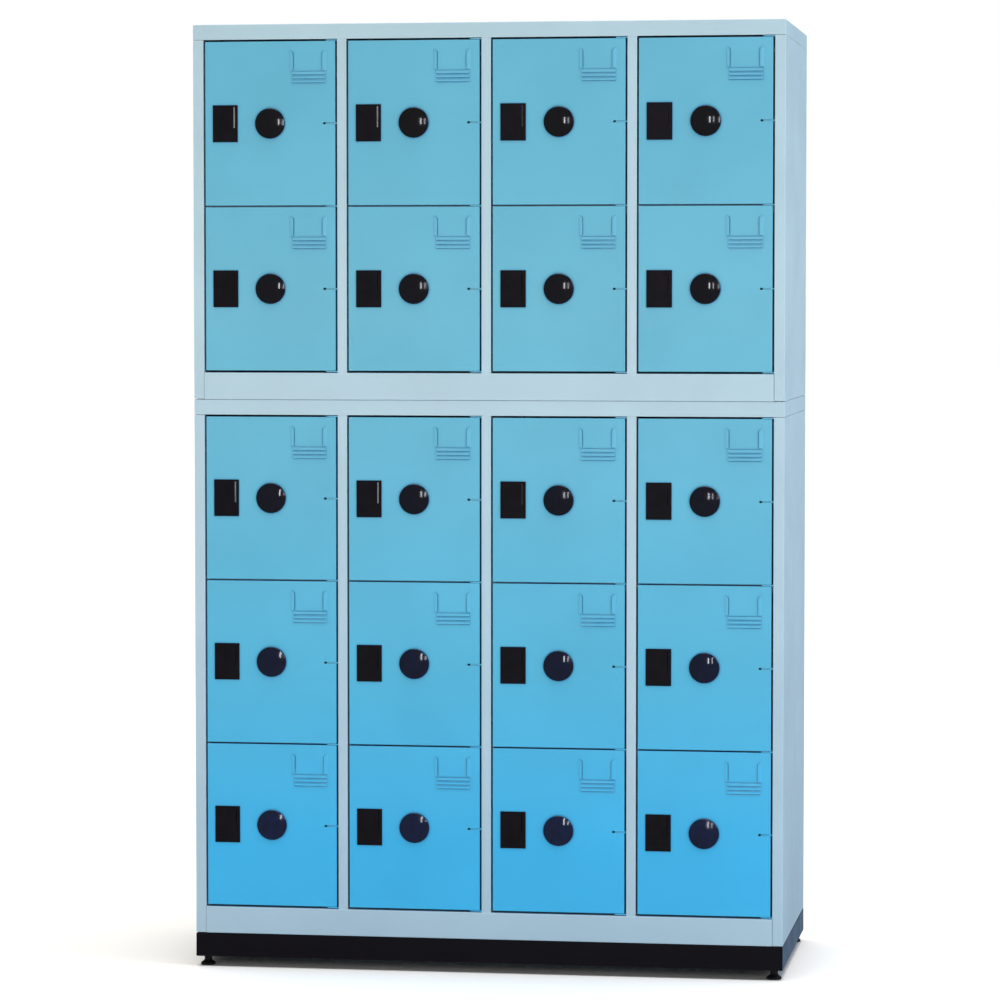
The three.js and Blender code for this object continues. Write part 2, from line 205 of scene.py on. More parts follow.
def tray(low, high, opening, sheet=SHEET):
    """A folded tray of sheet, open on the side that the vector opening points to."""
    opening = Vector(opening)
    bm = box_of(low, high)
    lid = next(face for face in bm.faces if face.normal.dot(opening) > 0.9)
    folds = [edge for edge in bm.edges if edge not in set(lid.edges)]
    bmesh.ops.delete(bm, geom=[lid], context="FACES_ONLY")
    bmesh.ops.bevel(bm, geom=folds, offset=BEND, segments=FOLD_STEPS, profile=0.5, affect="EDGES")
    bmesh.ops.recalc_face_normals(bm, faces=bm.faces)
    centre = (Vector(low) + Vector(high)) / 2
    base = max(bm.faces, key=lambda face: face.calc_area())
    if base.normal.dot(base.calc_center_median() - centre) < 0:
        bmesh.ops.reverse_faces(bm, faces=bm.faces)
    solid = temporary(bm)
    modifier = solid.modifiers.new("sheet", "SOLIDIFY")
    modifier.thickness = sheet
    modifier.offset = -1
    made = evaluated(solid)
    bmesh.ops.recalc_face_normals(made, faces=made.faces)
    return made


def fold_lines(points, sheet, radius):
    """Both faces of a sheet folded at right angles: one follows the points, the other is on
    their left."""
    corners = [Vector(point) for point in points]
    first, last = corners[1] - corners[0], corners[-1] - corners[-2]
    face, back = [corners[0]], [corners[0] + left_of(first) * sheet]
    for before, corner, after in zip(corners, corners[1:], corners[2:]):
        into, out = (corner - before).normalized(), (after - corner).normalized()
        centre = corner + (out - into) * radius
        side = 1 if left_of(into).dot(out) > 0 else -1
        for step in range(FOLD_STEPS + 1):
            angle = math.pi / 2 * step / FOLD_STEPS
            spoke = into * math.sin(angle) - out * math.cos(angle)
            face.append(centre + spoke * radius)
            back.append(centre + spoke * (radius - side * sheet))
    face.append(corners[-1])
    back.append(corners[-1] + left_of(last) * sheet)
    return face, back


def folded(points, span, along="z"):
    """Sheet folded at right angles, drawn flat as its points and run along an axis."""
    face, back = fold_lines(points, SHEET, BEND)
    place = {"z": lambda p, w: (p.x, p.y, w), "x": lambda p, w: (w, p.x, p.y)}[along]
    bm = bmesh.new()
    start, end = [[[bm.verts.new(place(p, w)) for p in line] for line in (face, back)] for w in span]
    for i in range(len(face) - 1):
        for near, far in zip(start, end):
            bm.faces.new((near[i], near[i + 1], far[i + 1], far[i]))
        for front, behind in (start, end):
            bm.faces.new((front[i], front[i + 1], behind[i + 1], behind[i]))
    for i in (0, -1):
        bm.faces.new((start[0][i], start[1][i], end[1][i], end[0][i]))
    bmesh.ops.recalc_face_normals(bm, faces=bm.faces)
    return bm


def left_of(direction):
    """The unit vector to the left of a direction in a plane."""
    return Vector((-direction.y, direction.x)).normalized()


def turned(profile, sides, axis="z"):
    """A solid turned from (radius, height) points: from one end on its axis to the other, or
    round a ring."""
    bm = bmesh.new()
    rings = []
    for radius, height in profile:
        steps = range(sides) if radius > 0 else range(1)
        angles = [2 * math.pi * step / sides for step in steps]
        rings.append([bm.verts.new((radius * math.cos(a), radius * math.sin(a), height)) for a in angles])
    if profile[0] == profile[-1]:
        bmesh.ops.delete(bm, geom=rings.pop(), context="VERTS")
        rings.append(rings[0])
    for low, high in zip(rings, rings[1:]):
        for i in range(sides):
            after = i + 1
            corners = [low[i % len(low)], low[after % len(low)],
                       high[after % len(high)], high[i % len(high)]]
            bm.faces.new(list(dict.fromkeys(corners)))
    if axis == "-y":
        bmesh.ops.rotate(bm, matrix=Matrix.Rotation(math.pi / 2, 3, "X"), verts=bm.verts)
    bmesh.ops.recalc_face_normals(bm, faces=bm.faces)
    return bm


def rod_profile(radius, low, high, chamfer):
    """(radius, height) points of a plain bar with its ends chamfered."""
    return [(0, low), (radius - chamfer, low), (radius, low + chamfer),
            (radius, high - chamfer), (radius - chamfer, high), (0, high)]


def hole_profile(radius, span):
    """(radius, height) points of a plain cutter for a round hole."""
    return [(0, span[0]), (radius, span[0]), (radius, span[1]), (0, span[1])]


def threaded_profile():
    """(radius, height) points of a foot's stud, with ridges the size of a thread."""
    root = STUD_RADIUS - THREAD_DEPTH
    points = [(0, STUD_BOTTOM), (root, STUD_BOTTOM)]
    for turn in range(int((STUD_TOP - STUD_BOTTOM) / THREAD_PITCH)):
        points.append((STUD_RADIUS, STUD_BOTTOM + (turn + 0.5) * THREAD_PITCH))
        points.append((root, STUD_BOTTOM + (turn + 1) * THREAD_PITCH))
    return points + [(0, points[-1][1])]


def move(bm, by):
    bmesh.ops.translate(bm, vec=Vector(by), verts=bm.verts)
    return bm


def joined(*parts):
    """One bmesh of several, each still a closed shell."""
    whole = bmesh.new()
    for part in parts:
        holder = bpy.data.meshes.new("holder")
        part.to_mesh(holder)
        whole.from_mesh(holder)
        bpy.data.meshes.remove(holder)
        part.free()
    return whole


def temporary(bm):
    """An object for modifiers to work on."""
    mesh = bpy.data.meshes.new("temporary")
    bm.to_mesh(mesh)
    bm.free()
    made = bpy.data.objects.new("temporary", mesh)
    bpy.context.scene.collection.objects.link(made)
    return made


def evaluated(source):
    """The bmesh that an object's modifiers make. The object goes."""
    graph = bpy.context.evaluated_depsgraph_get()
    bm = bmesh.new()
    bm.from_object(source, graph)
    mesh = source.data
    bpy.data.objects.remove(source)
    bpy.data.meshes.remove(mesh)
    return bm


def cut(bm, cutters):
    """The solid bm with the cutters' solids taken away."""
    body = temporary(bm)
    knives = [temporary(cutter) for cutter in cutters]
    for knife in knives:
        modifier = body.modifiers.new("cut", "BOOLEAN")
        modifier.operation = "DIFFERENCE"
        modifier.solver = "EXACT"
        modifier.object = knife
    result = evaluated(body)
    for knife in knives:
        bpy.data.objects.remove(knife)
    return result


def finished(name, bm, smooth_angle=32):
    """A mesh shaded smooth across its rounded edges and flat on its flat faces."""
    limit = math.radians(smooth_angle)
    for face in bm.faces:
        face.smooth = True
    for edge in bm.edges:
        edge.smooth = len(edge.link_faces) == 2 and edge.calc_face_angle(0) < limit
    source = temporary(bm)
    modifier = source.modifiers.new("normals", "WEIGHTED_NORMAL")
    modifier.keep_sharp = True
    modifier.weight = 100
    graph = bpy.context.evaluated_depsgraph_get()
    mesh = bpy.data.meshes.new_from_object(source.evaluated_get(graph))
    mesh.name = name
    rough = source.data
    bpy.data.objects.remove(source)
    bpy.data.meshes.remove(rough)
    return mesh


def piece(name, mesh, material, body, at=(0, 0, 0), instead_of=()):
    """An object of the locker that moves with a CAD body."""
    if isinstance(mesh, bmesh.types.BMesh):
        mesh = finished(name, mesh)
    if not mesh.materials:
        mesh.materials.append(material)
    made = bpy.data.objects.new(name, mesh)
    made.location = at
    bpy.context.scene.collection.objects.link(made)
    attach(made, body)
    if instead_of:
        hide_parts(*instead_of)
    return made


# ---------------------------------------------------------------- materials


def node(tree, kind, inputs=None, **settings):
    """A shader node with its settings, and its inputs set or linked."""
    made = tree.nodes.new("ShaderNode" + kind)
    for key, value in settings.items():
        setattr(made, key, value)
    for key, value in (inputs or {}).items():
        if isinstance(value, bpy.types.NodeSocket):
            tree.links.new(value, made.inputs[key])
        else:
            made.inputs[key].default_value = value
    return made


def linear(red, green, blue):
    """A colour given as 0-255 screen values, as the linear colour that shaders take."""
    def channel(value):
        value /= 255
        return value / 12.92 if value <= 0.04045 else ((value + 0.055) / 1.055) ** 2.4
    return (channel(red), channel(green), channel(blue), 1.0)


def new_material(name, roughness, metallic=0.0, specular=0.5):
    """A material, its node tree and its Principled shader."""
    material = bpy.data.materials.new(name)
    material.use_nodes = True
    tree = material.node_tree
    shader = tree.nodes["Principled BSDF"]
    shader.inputs["Roughness"].default_value = roughness
    shader.inputs["Metallic"].default_value = metallic
    shader.inputs["Specular IOR Level"].default_value = specular
    return material, tree, shader


def noise(tree, scale, detail=2.0, stretch=(1, 1, 1)):
    """Noise fixed to the piece, and different on each copy of it. scale is in features a metre."""
    place = node(tree, "TexCoord").outputs["Object"]
    own = node(tree, "ObjectInfo").outputs["Random"]
    spread = node(tree, "VectorMath", {0: own, 1: (7.0, 5.0, 3.0)}, operation="MULTIPLY")
    moved = node(tree, "VectorMath", {0: place, 1: spread.outputs[0]}, operation="ADD")
    shaped = node(tree, "VectorMath", {0: moved.outputs[0], 1: stretch}, operation="MULTIPLY")
    texture = node(tree, "TexNoise", {"Vector": shaped.outputs[0], "Scale": scale, "Detail": detail})
    return texture.outputs["Fac"]


def remap(tree, value, old, new):
    """value taken from one range to another, and held inside it."""
    limits = {"Value": value, "From Min": old[0], "From Max": old[1], "To Min": new[0], "To Max": new[1]}
    return node(tree, "MapRange", limits).outputs["Result"]


def patchy_edge_mask(tree, reach, amount):
    """Patchy mask along the edges of the piece. In the paints it lightens the edges, partly as wear and
    partly as a painted highlight along the folds.
    """
    rounded = node(tree, "Bevel", {"Radius": reach}, samples=4).outputs["Normal"]
    plain = node(tree, "NewGeometry").outputs["Normal"]
    match = node(tree, "VectorMath", {0: rounded, 1: plain}, operation="DOT_PRODUCT").outputs["Value"]
    edge = remap(tree, match, (0.995, 0.85), (0.0, amount))
    patches = remap(tree, noise(tree, 26, 4), (0.38, 0.6), (0.35, 1.0))
    return node(tree, "Math", {0: edge, 1: patches}, operation="MULTIPLY").outputs[0]


def painted_crease_shade(tree, reach, amount):
    """Mask of painted shade in the creases and corners that are closed in to within a distance."""
    openness = node(tree, "AmbientOcclusion", {"Distance": reach}, samples=4).outputs["AO"]
    return remap(tree, openness, (0.92, 0.45), (0.0, amount))


def mixed(tree, factor, first, second, blend="MIX"):
    """Two colours mixed by a factor."""
    made = node(tree, "Mix", data_type="RGBA", blend_type=blend)
    for socket, value in ((made.inputs[0], factor), (made.inputs[6], first), (made.inputs[7], second)):
        if isinstance(value, bpy.types.NodeSocket):
            tree.links.new(value, socket)
        else:
            socket.default_value = value
    return made.outputs[2]


def bump(tree, shader, height, distance, strength=1.0):
    made = node(tree, "Bump", {"Height": height, "Distance": distance, "Strength": strength})
    tree.links.new(made.outputs["Normal"], shader.inputs["Normal"])


def by_height(tree, stops):
    """A colour that changes with height above the floor, from (height, colour) stops. Where the stops
    differ, the change is painted light: the shade, tint and reflection that the light gives at each
    height.
    One stop is the same colour at every height."""
    if len(stops) == 1:
        return stops[0][1]
    height = node(tree, "SeparateXYZ", {0: node(tree, "NewGeometry").outputs["Position"]}).outputs["Z"]
    share = remap(tree, height, (0.0, CAP_HIGH.z), (0.0, 1.0))
    ramp = node(tree, "ValToRGB", {0: share})
    elements = ramp.color_ramp.elements
    while len(elements) < len(stops):
        elements.new(0.5)
    for element, (level, colour) in zip(elements, stops):
        element.position = level / CAP_HIGH.z
        element.color = colour
    return ramp.outputs["Color"]


def paint(name, stops, edge_colour, roughness, edge_amount, specular, crease_shade_colour=None):
    """Semi-gloss powder coat with orange peel and faint blotches. Its colour changes with height as
    painted light and shade, and its thin edges are lighter, partly as wear and partly as a painted
    highlight.
    Where it has a colour for crease shade, the paint takes it in its creases as painted shade."""
    material, tree, shader = new_material(name, roughness, specular=specular)
    tone = remap(tree, noise(tree, 5, 3), (0.3, 0.7), (0.965, 1.035))
    speckle = remap(tree, noise(tree, 900, 1), (0.3, 0.7), (0.985, 1.015))
    toned = mixed(tree, 1.0, by_height(tree, stops), tone, "MULTIPLY")
    coat = mixed(tree, 1.0, toned, speckle, "MULTIPLY")
    if crease_shade_colour:
        # painted shade: the creases and closed-in corners darken to the crease colour
        coat = mixed(tree, painted_crease_shade(tree, 5 * MM, 1.0), coat, crease_shade_colour)
    # thin edges lightened to the edge colour: partly wear, partly a painted highlight along the folds
    edged = mixed(tree, patchy_edge_mask(tree, 1.6 * MM, edge_amount), coat, edge_colour)
    tree.links.new(edged, shader.inputs["Base Color"])
    rubbed = remap(tree, noise(tree, 14, 5), (0.35, 0.7), (roughness - 0.05, roughness + 0.07))
    tree.links.new(rubbed, shader.inputs["Roughness"])
    bump(tree, shader, noise(tree, 420, 2), 0.06 * MM, 0.35)
    return material


def moulded(name, stops, roughness, specular, grain, grain_depth, scuff):
    """Moulded plastic, or a thick black coat, with a fine grain and light scuffs. grain is in
    features a metre, and scuff is how much rougher its scuffs are."""
    material, tree, shader = new_material(name, roughness, specular=specular)
    tone = remap(tree, noise(tree, 60, 3), (0.3, 0.7), (0.8, 1.25))
    toned = mixed(tree, 1.0, by_height(tree, stops), tone, "MULTIPLY")
    edged = mixed(tree, patchy_edge_mask(tree, 0.8 * MM, 0.35), toned, linear(96, 96, 100))
    tree.links.new(edged, shader.inputs["Base Color"])
    rubbed = remap(tree, noise(tree, 45, 6, (1, 1, 0.3)), (0.4, 0.75), (roughness, roughness + scuff))
    tree.links.new(rubbed, shader.inputs["Roughness"])
    bump(tree, shader, noise(tree, grain, 2), grain_depth, 0.5)
    return material


def metal(name, colour, roughness, brushing):
    """Bare or plated steel, brushed along its length."""
    material, tree, shader = new_material(name, roughness, metallic=1.0)
    tone = remap(tree, noise(tree, 40, 4), (0.3, 0.7), (0.82, 1.12))
    tree.links.new(mixed(tree, 1.0, colour, tone, "MULTIPLY"), shader.inputs["Base Color"])
    streaks = noise(tree, 300, 3, brushing)
    rubbed = remap(tree, streaks, (0.3, 0.7), (roughness - 0.06, roughness + 0.12))
    tree.links.new(rubbed, shader.inputs["Roughness"])
    bump(tree, shader, streaks, 0.03 * MM, 0.4)
    return material


# Painted shade: darker towards the bottom and a little towards the top, as the light falls on the casing.
CASING_PAINT = paint(
    "casing paint",
    [(0.1, linear(162, 189, 205)), (0.95, linear(173, 199, 212)), (1.3, linear(176, 202, 212)),
     (1.8, linear(171, 197, 206))],
    edge_colour=linear(214, 230, 238), roughness=0.48, edge_amount=0.7, specular=0.3,
)
# Painted light and shade: deeper and bluer towards the bottom, greyer above, as the light falls on the
# doors.
DOOR_PAINT = paint(
    "door paint",
    [(0.25, linear(57, 173, 224)), (0.6, linear(81, 175, 210)), (0.95, linear(97, 177, 205)),
     (1.3, linear(105, 178, 201)), (1.7, linear(98, 174, 199))],
    edge_colour=linear(140, 205, 232), roughness=0.5, edge_amount=0.5, specular=0.25,
    # the deep blue in the creases is painted shade
    crease_shade_colour=linear(30, 118, 176),
)
PLINTH_PAINT = paint(
    "plinth paint",
    [(0.0, linear(12, 8, 17))],
    edge_colour=linear(50, 48, 54), roughness=0.4, edge_amount=0.5, specular=0.2,
)
PLINTH_SHADER = PLINTH_PAINT.node_tree.nodes["Principled BSDF"]
PLINTH_SHADER.inputs["Sheen Weight"].default_value = 0.22  # a blue-tinted sheen, seen at a glancing angle: a painted reflection of bluish light
PLINTH_SHADER.inputs["Sheen Roughness"].default_value = 0.3
PLINTH_SHADER.inputs["Sheen Tint"].default_value = (0.28, 0.58, 1.0, 1.0)
# Painted reflection: the domes turn bluer towards the bottom, as if they caught bluish light there.
KNOB_PLASTIC = moulded(
    "knob plastic",
    [(0.3, linear(13, 22, 50)), (0.9, linear(8, 10, 24)), (1.5, linear(8, 8, 13))],
    roughness=0.07, specular=0.5, grain=700, grain_depth=0.01 * MM, scuff=0.1,
)
PLATE_PLASTIC = moulded(
    "plate plastic",
    [(0.0, linear(16, 13, 19))],
    roughness=0.42, specular=0.15, grain=1600, grain_depth=0.04 * MM, scuff=0.15,
)
FOOT_BLACK = moulded(
    "foot black",
    [(0.0, linear(14, 13, 15))],
    roughness=0.45, specular=0.3, grain=900, grain_depth=0.05 * MM, scuff=0.15,
)
ZINC = metal("zinc plate", linear(170, 172, 176), 0.34, (1, 1, 12))
# Bright and dull copies of the lining stand in for a glint: painted light.
GLINT_LINING = metal("glint lining", linear(222, 220, 222), 0.3, (1, 1, 0.1))
FAINT_GLINT_LINING = metal("faint glint lining", linear(84, 82, 90), 0.3, (1, 1, 0.1))
BLACK_LINING = metal("black lining", linear(36, 34, 40), 0.35, (1, 1, 0.1))

# Most of the slots' linings are blackened. These are bright or dull steel instead, a painted glint where
# the slot catches the light.
LININGS = {
    "a1": GLINT_LINING, "a2": GLINT_LINING, "a3": FAINT_GLINT_LINING,
    "c1": GLINT_LINING, "c2": GLINT_LINING, "c3": FAINT_GLINT_LINING,
}


# ---------------------------------------------------------------- the door and what is fixed to it
# A door is built from its lower left front corner: x to the right, y back, z up.

MIDDLE = DOOR_HEIGHT / 2
SLOT_LEFT = PLATE_FROM_EDGE + COIN_SLOT_FROM_LEFT
SLOT_RIGHT = SLOT_LEFT + COIN_SLOT_WIDTH
SLOT_TOP = MIDDLE + PLATE_HEIGHT / 2 - COIN_SLOT_FROM_TOP
SLOT_BOTTOM = SLOT_TOP - COIN_SLOT_HEIGHT


def tongue(width, length, flare=0.0):
    """A tongue pressed out of a sheet that faces -Y. It is hinged along x = 0, rises towards
    x = width, where it is open, and runs along z. Its upper end flares back."""
    rise, root = TONGUE_RISE, TONGUE_ROOT
    # Its section, as (share of the width, y), and its stations, as (z, share of the width, of the rise).
    profile = [(0, root), (0, 0), (0.3, -0.72 * rise), (0.55, -rise), (1, -rise),
               (1, -rise + TONGUE_SHEET), (0.6, -rise + TONGUE_SHEET), (0.32, root)]
    stations = [(0.0, 1.0, 1.0), (length - flare, 1.0, 1.0)]
    if flare:
        stations.append((length, 0.35, 0.55))
    bm = bmesh.new()
    rings = []
    for z, reach, lift in stations:
        rings.append([bm.verts.new((across * width * reach, out * lift if out < 0 else out, z))
                      for across, out in profile])
    for low, high in zip(rings, rings[1:]):
        for i, corner in enumerate(low):
            after = (i + 1) % len(low)
            bm.faces.new((corner, low[after], high[after], high[i]))
    bm.faces.new(rings[0])
    bm.faces.new(list(reversed(rings[-1])))
    bmesh.ops.recalc_face_normals(bm, faces=bm.faces)
    return bm


def turned_about_y(bm, degrees):
    bmesh.ops.rotate(bm, matrix=Matrix.Rotation(math.radians(degrees), 3, "Y"), verts=bm.verts)
    return bm


def lip_tongue(edge, opens_right):
    """An upright lip of the card holder. Its open edge is `edge` from the door's right edge."""
    bm = tongue(LIP_WIDTH, LIP_BOTTOM - LIP_TOP, LIP_FLARE)
    if not opens_right:
        bmesh.ops.scale(bm, vec=(-1, 1, 1), verts=bm.verts)
        bmesh.ops.reverse_faces(bm, faces=bm.faces)
    hinge = DOOR_WIDTH - edge + (-LIP_WIDTH if opens_right else LIP_WIDTH)
    return move(bm, (hinge, 0, DOOR_HEIGHT - LIP_BOTTOM))


def lip_crease(edge, opens_right):
    """The crease beside an upright lip's open edge."""
    open_x = DOOR_WIDTH - edge
    away = 1 if opens_right else -1
    left, right = sorted((open_x + away * LIP_CREASE, open_x - away * CREASE_UNDER * LIP_WIDTH))
    low, high = DOOR_HEIGHT - LIP_BOTTOM, DOOR_HEIGHT - LIP_TOP - LIP_FLARE * CREASE_STOP
    return box_of((left, -SHEET, low), (right, CREASE_DEPTH, high))


def level_tongue(drop, width, opens_up):
    """A tongue that lies across, with its open edge `drop` below the door's top."""
    bm = tongue(width, RIB_SPAN[1] - RIB_SPAN[0])
    turned_about_y(bm, -90 if opens_up else 90)
    start = DOOR_WIDTH - (RIB_SPAN[0] if opens_up else RIB_SPAN[1])
    hinge = DOOR_HEIGHT - drop + (-width if opens_up else width)
    return move(bm, (start, 0, hinge))


def level_crease(drop, width, crease, opens_up):
    """The crease beside a level tongue's open edge."""
    open_z = DOOR_HEIGHT - drop
    away = 1 if opens_up else -1
    low, high = sorted((open_z + away * crease, open_z - away * CREASE_UNDER * width))
    left, right = DOOR_WIDTH - RIB_SPAN[1], DOOR_WIDTH - RIB_SPAN[0]
    return box_of((left, -SHEET, low), (right, CREASE_DEPTH, high))


def coin_slot(front, back):
    """A cutter for the coin slot, between two depths."""
    return box_of((SLOT_LEFT, front, SLOT_BOTTOM), (SLOT_RIGHT, back, SLOT_TOP))


def door_cutters():
    """Everything that is cut through the pan, and the creases in its skin."""
    through = (-2 * SHEET, 2 * SHEET)
    slot_end = DOOR_WIDTH - TAB_SLOT_LENGTH
    rod_hole = turned(hole_profile(ROD_HOLE_RADIUS, (-SHEET, DOOR_HEIGHT + SHEET)), 16)
    slot_round = turned(hole_profile(TAB_SLOT_END_RADIUS, through), 20, "-y")
    spindle = turned(hole_profile(SPINDLE_RADIUS + FIT, through), 24, "-y")
    tab_slot = box_of((slot_end, -SHEET, MIDDLE - TAB_SLOT_HEIGHT / 2),
                      (DOOR_WIDTH + SHEET, DOOR_DEPTH + SHEET, MIDDLE + TAB_SLOT_HEIGHT / 2))
    return [
        move(rod_hole, (DOOR_WIDTH - PIVOT_INSET, PIVOT_INSET, 0)),
        tab_slot,
        move(slot_round, (slot_end, 0, MIDDLE)),
        move(spindle, (DOOR_WIDTH / 2, 0, MIDDLE)),
        coin_slot(-SHEET, 2 * SHEET),
        lip_crease(LEFT_LIP_EDGE, True),
        lip_crease(RIGHT_LIP_EDGE, False),
        level_crease(FLOOR_LIP_DROP, FLOOR_LIP_WIDTH, FLOOR_LIP_CREASE, True),
        *[level_crease(drop, RIB_WIDTH, RIB_CREASE, False) for drop in RIB_DROPS],
    ]


def door_pan():
    """The folded door, with the card holder's lips and the ribs pressed out of it."""
    pan = tray((0, 0, 0), (DOOR_WIDTH, DOOR_DEPTH, DOOR_HEIGHT), (0, 1, 0))
    return joined(
        cut(pan, door_cutters()),
        lip_tongue(LEFT_LIP_EDGE, True),
        lip_tongue(RIGHT_LIP_EDGE, False),
        level_tongue(FLOOR_LIP_DROP, FLOOR_LIP_WIDTH, True),
        *[level_tongue(drop, RIB_WIDTH, False) for drop in RIB_DROPS],
    )


def coin_plate():
    """The black plate, with the coin slot cut through it."""
    low = (PLATE_FROM_EDGE, -PLATE_PROUD, MIDDLE - PLATE_HEIGHT / 2)
    high = (PLATE_FROM_EDGE + PLATE_WIDTH, -PLATE_FIT, MIDDLE + PLATE_HEIGHT / 2)
    return cut(rounded_box(low, high, PLATE_EDGE), [coin_slot(-2 * PLATE_PROUD, PLATE_PROUD)])


def slot_lining():
    """The steel edge that coins run along, at the right of the slot."""
    low = (SLOT_RIGHT - LINING_WIDTH, -PLATE_PROUD - LINING_PROUD, SLOT_BOTTOM)
    return rounded_box(low, (SLOT_RIGHT, 1.5 * SHEET, SLOT_TOP), LINING_EDGE)


def lock_case():
    """The coin lock's case behind the skin, and its four screws."""
    left, right = LOCK_CASE_FROM_EDGE, LOCK_CASE_FROM_EDGE + LOCK_CASE_WIDTH
    low, high = MIDDLE - LOCK_CASE_HEIGHT / 2, MIDDLE + LOCK_CASE_HEIGHT / 2
    shell = tray((left, SHEET + FIT, low), (right, LOCK_CASE_DEPTH, high), (0, -1, 0), LOCK_CASE_WALL)
    across, up = SCREW_INSET
    screws = []
    for x in (left + across, right - across):
        for z in (low + up, high - up):
            head = turned(SCREW_HEAD, 16, "-y")
            bmesh.ops.scale(head, vec=(1, -1, 1), verts=head.verts)
            bmesh.ops.reverse_faces(head, faces=head.faces)
            screws.append(move(head, (x, LOCK_CASE_DEPTH - SCREW_SUNK, z)))
    return shell, joined(*screws)


def boss():
    """The bush that the spindle turns in."""
    hole, outer, flange = SPINDLE_RADIUS + FIT, BOSS_RADIUS, BOSS_RADIUS + BOSS_FLANGE
    start, end = SHEET + FIT, BOSS_DEPTH
    behind = start + BOSS_FLANGE_THICKNESS
    fillet, taper = 0.6 * MM, 1 * MM
    profile = [(hole, -start), (flange, -start), (flange, -behind), (outer, -behind - fillet),
               (outer - taper, -end), (hole, -end), (hole, -start)]
    return turned(list(reversed(profile)), 32, "-y")


# ---------------------------------------------------------------- the knob and its latch
# Drawn around the knob's axis, with the door's face at y = 0.


def knob_cap():
    """Low polished dome with a rounded shoulder."""
    rim, shoulder, crown = KNOB_RADIUS, KNOB_SHOULDER, KNOB_CROWN
    inner = rim - shoulder
    sphere = (inner ** 2 + crown ** 2) / (2 * crown)
    edge_slope = math.asin(inner / sphere)
    base = KNOB_PROUD - crown
    chamfer = 0.4 * MM
    shoulder_steps, crown_steps = 6, 14
    profile = [(0, FIT), (rim - chamfer, FIT), (rim, FIT + chamfer)]
    for step in range(shoulder_steps + 1):
        angle = (math.pi / 2 - edge_slope) * step / shoulder_steps
        out = base - shoulder + shoulder * math.sin(angle)
        profile.append((inner + shoulder * math.cos(angle), out))
    for step in range(1, crown_steps + 1):
        angle = edge_slope * (1 - step / crown_steps)
        profile.append((sphere * math.sin(angle), KNOB_PROUD - sphere * (1 - math.cos(angle))))
    profile[-1] = (0, KNOB_PROUD)
    return turned(profile, 72, "-y")


def latch_parts():
    """Spindle, latch arm and nut."""
    spindle = turned(rod_profile(SPINDLE_RADIUS, -SPINDLE_REACH, FIT, 0.6 * MM), 28, "-y")
    arm_back = LATCH_FROM_FACE + LATCH_THICKNESS
    arm = rounded_box((-LATCH_WIDTH / 2, LATCH_FROM_FACE, -LATCH_REACH),
                      (LATCH_WIDTH / 2, arm_back, LATCH_TAIL), LATCH_EDGE)
    radius, inner, chamfer = LATCH_NUT_RADIUS, LATCH_NUT_RADIUS - 0.6 * MM, 0.5 * MM
    nut = turned([(0, 0), (inner, 0), (radius, chamfer), (radius, LATCH_NUT_HEIGHT - chamfer),
                  (inner, LATCH_NUT_HEIGHT), (0, LATCH_NUT_HEIGHT)], 6, "-y")
    move(nut, (0, arm_back + LATCH_NUT_HEIGHT, 0))
    return spindle, arm, nut


# ---------------------------------------------------------------- doors and knobs, twenty times


def build_doors():
    case, screws = lock_case()
    spindle, arm, nut = latch_parts()
    on_door = {
        "coin_plate": (finished("coin_plate", coin_plate()), PLATE_PLASTIC, "black_plastic"),
        "lock_case": (finished("lock_case", case), PLINTH_PAINT, "plinth_paint"),
        "case_screws": (finished("case_screws", screws), ZINC, "zinc_steel"),
        "spindle_bush": (finished("spindle_bush", boss()), ZINC, "zinc_steel"),
    }
    on_knob = {
        "spindle": (finished("spindle", spindle), ZINC, "zinc_steel"),
        "latch_arm": (finished("latch_arm", arm), ZINC, "zinc_steel"),
        "latch_nut": (finished("latch_nut", nut), ZINC, "zinc_steel"),
    }
    pan = finished("door_pan", door_pan())
    cap = finished("knob_cap", knob_cap())
    linings = {material: finished("slot_lining", slot_lining())
               for material in (GLINT_LINING, FAINT_GLINT_LINING, BLACK_LINING)}
    for cell in CELLS:
        low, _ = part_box(f"door_{cell}")
        corner = Vector((low.x, FRONT, low.z))
        axis = corner + Vector((DOOR_WIDTH / 2, 0, MIDDLE))
        door, knob = f"door_{cell}", f"knob_{cell}"
        piece(f"door_pan_{cell}", pan, DOOR_PAINT, door, corner, [door])
        piece(f"knob_cap_{cell}", cap, KNOB_PLASTIC, knob, axis, [knob])
        lining = LININGS.get(cell, BLACK_LINING)
        piece(f"slot_lining_{cell}", linings[lining], lining, door, corner)
        for name, (mesh, material, slot) in on_door.items():
            at = axis if name == "spindle_bush" else corner
            piece(f"{name}_{cell}", mesh, material, door, at)
        for name, (mesh, material, slot) in on_knob.items():
            piece(f"{name}_{cell}", mesh, material, knob, axis)


# ---------------------------------------------------------------- the casing


def casing(name, bm, instead_of=()):
    return piece(name, bm, CASING_PAINT, "casing", instead_of=instead_of)


INNER = HALF - SHEET - FIT  # to the inside of the side panels
INNER_BACK = BACK - 2 * (SHEET + FIT)  # to the inside of the side panels' back flanges
BEHIND_POSTS = FRONT + POST_DEPTH + FIT


def levels(cabinet):
    """Heights of a cabinet's foot, floor, rim (the lower edge of its top rail) and top."""
    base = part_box(f"{cabinet}_base_and_posts")[0].z - FIT
    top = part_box(f"{cabinet}_top_cap")[1].z
    return base, base + BOTTOM_RAIL, top - TOP_RAIL, top


def build_cap(cabinet):
    """The tray over the top, whose front edge is the top rail, with the rail's lip."""
    _, _, rim, top = levels(cabinet)
    cap = tray((-HALF, FRONT, rim), (HALF, BACK, top), (0, 0, -1))
    lip_low = (-HALF + SHEET, FRONT + SHEET / 2, rim)
    lip = rounded_box(lip_low, (HALF - SHEET, FRONT + RAIL_LIP, rim + SHEET), SOFT_EDGE)
    casing(f"{cabinet}_cap", joined(cap, lip), [f"{cabinet}_top_cap"])


